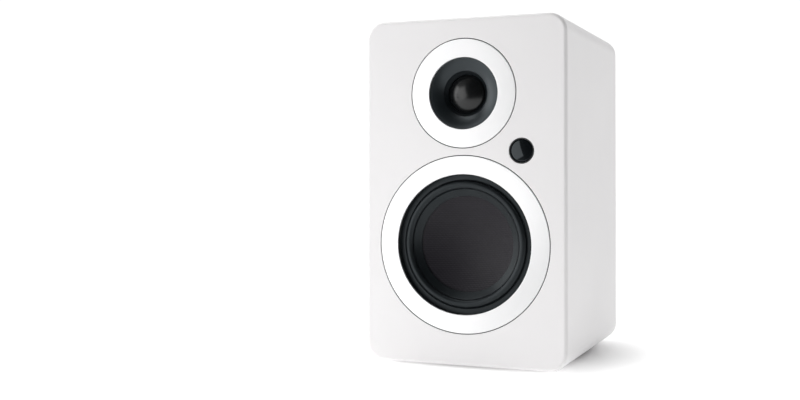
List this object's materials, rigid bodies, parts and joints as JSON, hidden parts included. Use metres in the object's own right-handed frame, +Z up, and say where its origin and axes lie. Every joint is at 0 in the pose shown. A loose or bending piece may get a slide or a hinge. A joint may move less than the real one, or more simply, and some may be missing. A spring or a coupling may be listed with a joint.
{
  "type": "powered bookshelf speaker",
  "caption": "Compact white powered bookshelf speaker with a woven-dish woofer, dome tweeter, flush front control, rear port and amplifier panel.",
  "frame": {"origin": "middle of the object's footprint, on the surface that the feet stand on", "axes": "+X to the right seen from the front, +Y to the back, +Z up"},
  "size_m": [0.145, 0.181, 0.24],
  "materials": {
    "satin_white_paint": "satin white paint over fibreboard, edges rounded",
    "trim_metal": "silver face with a circular spun grain",
    "black_plastic": "fine moulded texture, satin",
    "gloss_black": "polished black, slightly domed",
    "surround_rubber": "smooth butyl rubber, satin",
    "dish_weave": "fine coated plain weave, dark grey with a purple cast",
    "spider_cloth": "resin-dipped pleated cloth",
    "dome_silk": "coated silk, glossy",
    "pressed_steel": "black powder coat",
    "motor_steel": "zinc plated",
    "ferrite": "sintered ferrite, dull dark grey",
    "copper_winding": "enamelled copper wire, wound in turns",
    "circuit_board": "green solder mask",
    "strip_board": "brown phenolic paper",
    "foot_rubber": "matt",
    "amp_panel": "black, fine texture",
    "tray_steel": "bare folded steel",
    "lamination_steel": "varnished laminations",
    "gold_plate": "gold flash over brass",
    "red_plastic": "red moulded cap",
    "port_plastic": "satin, smooth flare",
    "wadding": "loose polyester fibre",
    "magnet_plate": "nickel-plated magnet"
  },
  "bodies": {
    "cabinet": {"amp_board": "circuit_board", "amp_plate": "amp_panel", "amp_tray": "tray_steel", "cabinet_sleeve": "satin_white_paint", "control_bezel": "black_plastic", "control_board": "circuit_board", "control_bracket": "black_plastic", "damping_wadding": "wadding", "encoder_body": "black_plastic", "foot_front_left": "foot_rubber", "foot_front_right": "foot_rubber", "foot_rear_left": "foot_rubber", "foot_rear_right": "foot_rubber", "front_baffle": "satin_white_paint", "grille_magnet_left_high": "magnet_plate", "grille_magnet_left_low": "magnet_plate", "grille_magnet_right_high": "magnet_plate", "grille_magnet_right_low": "magnet_plate", "mains_inlet": "black_plastic", "mains_transformer": "lamination_steel", "optical_socket": "black_plastic", "phono_sockets": "black_plastic", "port_tube": "port_plastic", "rear_panel": "satin_white_paint", "switch_housing": "black_plastic", "terminal_base": "black_plastic", "tweeter_front_plate": "motor_steel", "tweeter_magnet": "ferrite", "tweeter_screw_1": "pressed_steel", "tweeter_screw_2": "pressed_steel", "tweeter_screw_3": "pressed_steel", "tweeter_surround": "dome_silk", "tweeter_trim_ring": "trim_metal", "tweeter_waveguide": "black_plastic", "tweeter_yoke": "motor_steel", "woofer_basket": "pressed_steel", "woofer_magnet": "ferrite", "woofer_screw_1": "pressed_steel", "woofer_screw_2": "pressed_steel", "woofer_screw_3": "pressed_steel", "woofer_screw_4": "pressed_steel", "woofer_spacer": "black_plastic", "woofer_spider": "spider_cloth", "woofer_surround": "surround_rubber", "woofer_terminal_strip": "strip_board", "woofer_top_plate": "motor_steel", "woofer_trim_ring": "trim_metal", "woofer_yoke": "motor_steel"},
    "woofer_moving": {"woofer_cone": "dish_weave", "woofer_voice_coil": "copper_winding"},
    "tweeter_moving": {"tweeter_dome": "dome_silk", "tweeter_voice_coil": "copper_winding"},
    "control_plunger": {"push_collar": "motor_steel"},
    "control_dial": {"control_knob": "gloss_black", "encoder_shaft": "motor_steel"},
    "power_rocker": {"power_rocker": "black_plastic"},
    "collar_red": {"terminal_collar_red": "gold_plate"},
    "cap_red": {"terminal_cap_red": "red_plastic"},
    "collar_black": {"terminal_collar_black": "gold_plate"},
    "cap_black": {"terminal_cap_black": "black_plastic"}
  },
  "joints": [
    {"name": "woofer_stroke", "type": "slide", "parent": "cabinet", "child": "woofer_moving", "axis": [0, 1, 0], "range_m": [-0.003, 0.003], "stiffness_N_per_m": 1000, "deforming": ["woofer_surround", "woofer_spider"]},
    {"name": "tweeter_stroke", "type": "slide", "parent": "cabinet", "child": "tweeter_moving", "axis": [0, 1, 0], "range_m": [-0.0003, 0.0003], "stiffness_N_per_m": 1500, "deforming": ["tweeter_surround"]},
    {"name": "control_press", "type": "slide", "parent": "cabinet", "child": "control_plunger", "axis": [0, 1, 0], "range_m": [0, 0.001], "stiffness_N_per_m": 1500, "springref_m": -0.001},
    {"name": "control_turn", "type": "hinge", "parent": "control_plunger", "child": "control_dial", "pos_m": [0.0414, -0.0905, 0.1483], "axis": [0, -1, 0], "continuous": true},
    {"name": "power_rocker_tilt", "type": "hinge", "parent": "cabinet", "child": "power_rocker", "pos_m": [-0.026, 0.0745, 0.0425], "axis": [-1, 0, 0], "range_deg": [0, 20]},
    {"name": "collar_red_travel", "type": "slide", "parent": "cabinet", "child": "collar_red", "axis": [0, 1, 0], "range_m": [0, 0.003]},
    {"name": "cap_red_turn", "type": "hinge", "parent": "collar_red", "child": "cap_red", "pos_m": [0.0095, 0.0795, 0.1055], "axis": [0, 1, 0], "range_deg": [0, 1080]},
    {"name": "collar_black_travel", "type": "slide", "parent": "cabinet", "child": "collar_black", "axis": [0, 1, 0], "range_m": [0, 0.003]},
    {"name": "cap_black_turn", "type": "hinge", "parent": "collar_black", "child": "cap_black", "pos_m": [-0.0095, 0.0795, 0.1055], "axis": [0, 1, 0], "range_deg": [0, 1080]}
  ],
  "couplings": [
    {"joint": "cap_red_turn", "follows": "collar_red_travel", "rad_per_m": 6283.2},
    {"joint": "cap_black_turn", "follows": "collar_black_travel", "rad_per_m": 6283.2}
  ]
}
